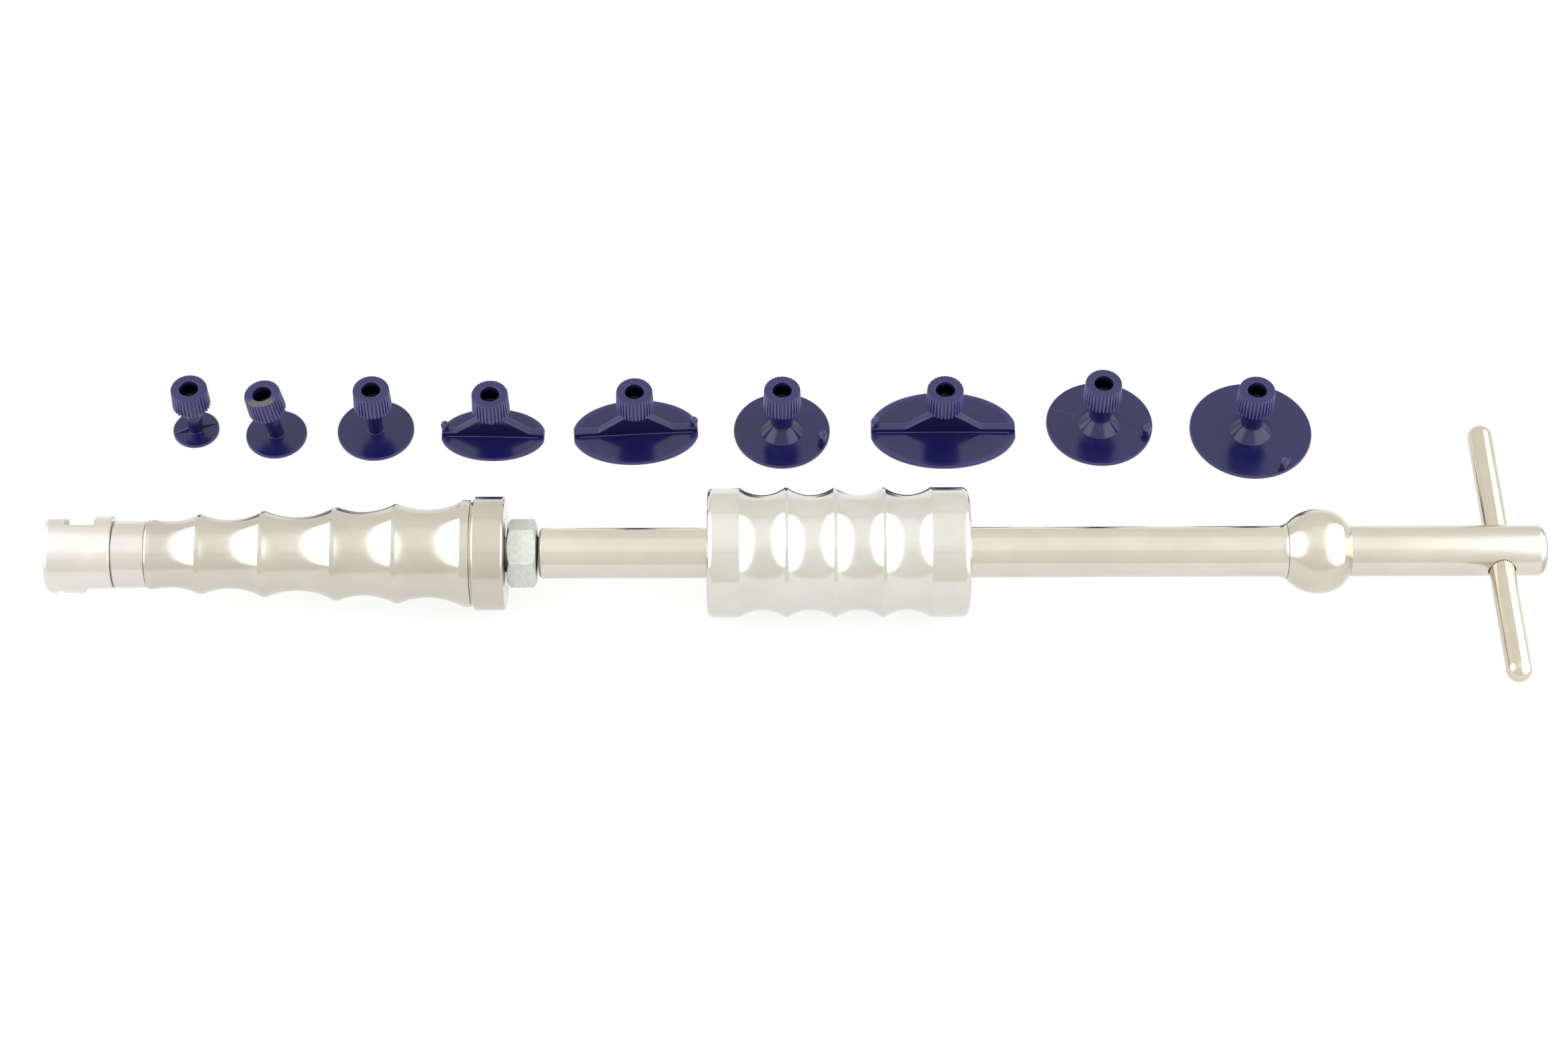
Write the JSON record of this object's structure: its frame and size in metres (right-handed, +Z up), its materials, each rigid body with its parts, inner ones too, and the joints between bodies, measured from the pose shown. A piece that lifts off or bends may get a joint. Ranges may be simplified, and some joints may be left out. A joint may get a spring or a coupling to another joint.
{
  "type": "slide hammer puller",
  "caption": "Slide hammer dent puller: ribbed grip with side-loading tab holder, grooved weight sliding to a stop ball, cross bar, and a row of glue tabs.",
  "frame": {"origin": "centre of the footprint, on the surface that the tool and its tabs rest on", "axes": "+X along the shaft from the tab holder to the cross bar, +Y back towards the row of tabs, +Z up"},
  "size_m": [0.4688, 0.1364, 0.0408],
  "materials": {
    "nickel": "bright nickel plate over turned steel",
    "holder_nickel": "bright nickel plate, slightly paler",
    "bar_nickel": "bright nickel plate with a warmer tint",
    "zinc": "dull zinc plate",
    "tab_plastic": "moulded plastic, semi-matte"
  },
  "bodies": {
    "tool": {"slide_shaft": "nickel", "stop_ball": "nickel", "cross_bar": "bar_nickel", "strike_collar": "nickel", "ribbed_grip": "nickel", "neck_ring": "holder_nickel", "tab_holder": "holder_nickel"},
    "weight": {"slide_weight": "nickel"},
    "nut": {"lock_nut": "zinc"},
    "tab_round_15_piece": {"tab_round_15": "tab_plastic"},
    "tab_round_20_piece": {"tab_round_20": "tab_plastic"},
    "tab_round_25_piece": {"tab_round_25": "tab_plastic"},
    "tab_oval_34_piece": {"tab_oval_34": "tab_plastic"},
    "tab_oval_41_piece": {"tab_oval_41": "tab_plastic"},
    "tab_round_32_piece": {"tab_round_32": "tab_plastic"},
    "tab_oval_48_piece": {"tab_oval_48": "tab_plastic"},
    "tab_round_35_piece": {"tab_round_35": "tab_plastic"},
    "tab_round_40_piece": {"tab_round_40": "tab_plastic"}
  },
  "joints": [
    {"name": "weight_slide", "type": "slide", "parent": "tool", "child": "weight", "axis": [1, 0, 0], "range_m": [-0.052, 0.098]},
    {"name": "nut_turn", "type": "hinge", "parent": "tool", "child": "nut", "pos_m": [-0.08585, -0.01818, 0.0204], "axis": [1, 0, 0], "range_deg": [-160, 140]},
    {"name": "tab_round_15_lift", "type": "slide", "parent": "tool", "child": "tab_round_15_piece", "axis": [0, 0, 1], "range_m": [0, 0.06]},
    {"name": "tab_round_20_lift", "type": "slide", "parent": "tool", "child": "tab_round_20_piece", "axis": [0, 0, 1], "range_m": [0, 0.06]},
    {"name": "tab_round_25_lift", "type": "slide", "parent": "tool", "child": "tab_round_25_piece", "axis": [0, 0, 1], "range_m": [0, 0.06]},
    {"name": "tab_oval_34_lift", "type": "slide", "parent": "tool", "child": "tab_oval_34_piece", "axis": [0, 0, 1], "range_m": [0, 0.06]},
    {"name": "tab_oval_41_lift", "type": "slide", "parent": "tool", "child": "tab_oval_41_piece", "axis": [0, 0, 1], "range_m": [0, 0.06]},
    {"name": "tab_round_32_lift", "type": "slide", "parent": "tool", "child": "tab_round_32_piece", "axis": [0, 0, 1], "range_m": [0, 0.06]},
    {"name": "tab_oval_48_lift", "type": "slide", "parent": "tool", "child": "tab_oval_48_piece", "axis": [0, 0, 1], "range_m": [0, 0.06]},
    {"name": "tab_round_35_lift", "type": "slide", "parent": "tool", "child": "tab_round_35_piece", "axis": [0, 0, 1], "range_m": [0, 0.06]},
    {"name": "tab_round_40_lift", "type": "slide", "parent": "tool", "child": "tab_round_40_piece", "axis": [0, 0, 1], "range_m": [0, 0.06]}
  ]
}
